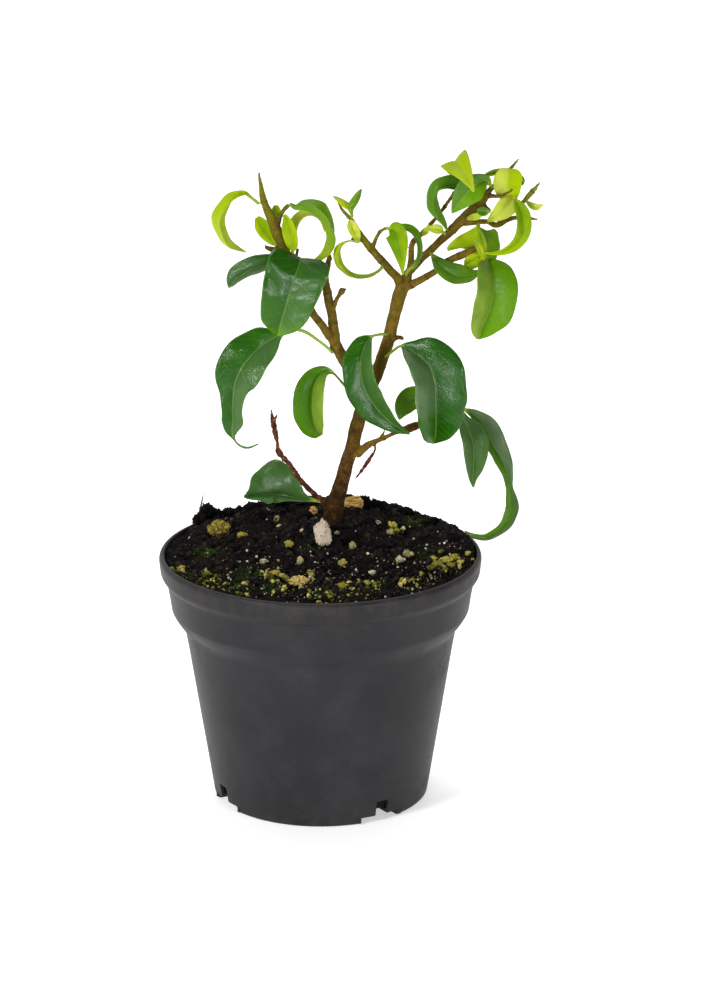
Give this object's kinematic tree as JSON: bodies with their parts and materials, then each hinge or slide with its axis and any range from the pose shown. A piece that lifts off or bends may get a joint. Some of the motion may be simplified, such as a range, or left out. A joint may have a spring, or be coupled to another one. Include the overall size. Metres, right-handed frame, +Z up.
{
  "type": "potted ficus bonsai",
  "caption": "Small curly-leaved ficus bonsai with slender branches, standing in dark soil in a round tapered nursery pot with a lip, a stacking step and drain slots.",
  "frame": {"origin": "middle of the pot's underside, on the surface that it stands on", "axes": "+Z up along the pot's axis; -Y towards the viewer of the picture, +X to the viewer's right"},
  "size_m": [0.1243, 0.1052, 0.213],
  "materials": {
    "pot_plastic": "matt, slightly dusty",
    "soil": "rough, damp peat",
    "bark": "rough bark",
    "leaf_mature": "waxy, soft gloss",
    "leaf_green": "waxy, soft gloss",
    "leaf_young": "thin, soft gloss",
    "leaf_pale": "papery",
    "stone": "rough",
    "wood_chip": "rough, dry",
    "crumb": "rough, crumbly"
  },
  "bodies": {
    "root": {"bark_chip_golden": "wood_chip", "bark_chip_orange": "wood_chip", "crumb_ball_left": "crumb", "crumb_block_front": "crumb", "leaf_left_behind_stem": "leaf_young", "leaf_left_broad": "leaf_mature", "leaf_left_bud_scale": "leaf_young", "leaf_left_cupped": "leaf_green", "leaf_left_drip_tip": "leaf_mature", "leaf_left_long": "leaf_mature", "leaf_left_narrow": "leaf_young", "leaf_left_ring_inner": "leaf_young", "leaf_left_ring_large": "leaf_green", "leaf_left_ring_outer": "leaf_young", "leaf_low_pointed": "leaf_green", "leaf_low_tail": "leaf_green", "leaf_middle_arch": "leaf_green", "leaf_middle_gull": "leaf_green", "leaf_middle_ring": "leaf_green", "leaf_middle_sickle": "leaf_mature", "leaf_middle_triangle": "leaf_young", "leaf_right_broad": "leaf_mature", "leaf_right_centre": "leaf_young", "leaf_right_crescent": "leaf_green", "leaf_right_hanging": "leaf_green", "leaf_right_ring_left": "leaf_green", "leaf_right_ring_outer": "leaf_young", "leaf_right_round_small": "leaf_green", "leaf_right_small_behind": "leaf_green", "leaf_soil_left": "leaf_mature", "leaf_top_behind": "leaf_green", "leaf_top_glossy": "leaf_green", "leaf_top_pale": "leaf_pale", "leaf_top_yellow": "leaf_young", "pot": "pot_plastic", "sheath_middle": "leaf_pale", "sheath_right_inner": "leaf_pale", "sheath_right_low": "leaf_pale", "sheath_right_tip": "leaf_pale", "sheath_right_upper": "leaf_pale", "soil": "soil", "stone_pale": "stone", "trunk_and_branches": "bark"}
  },
  "joints": []
}
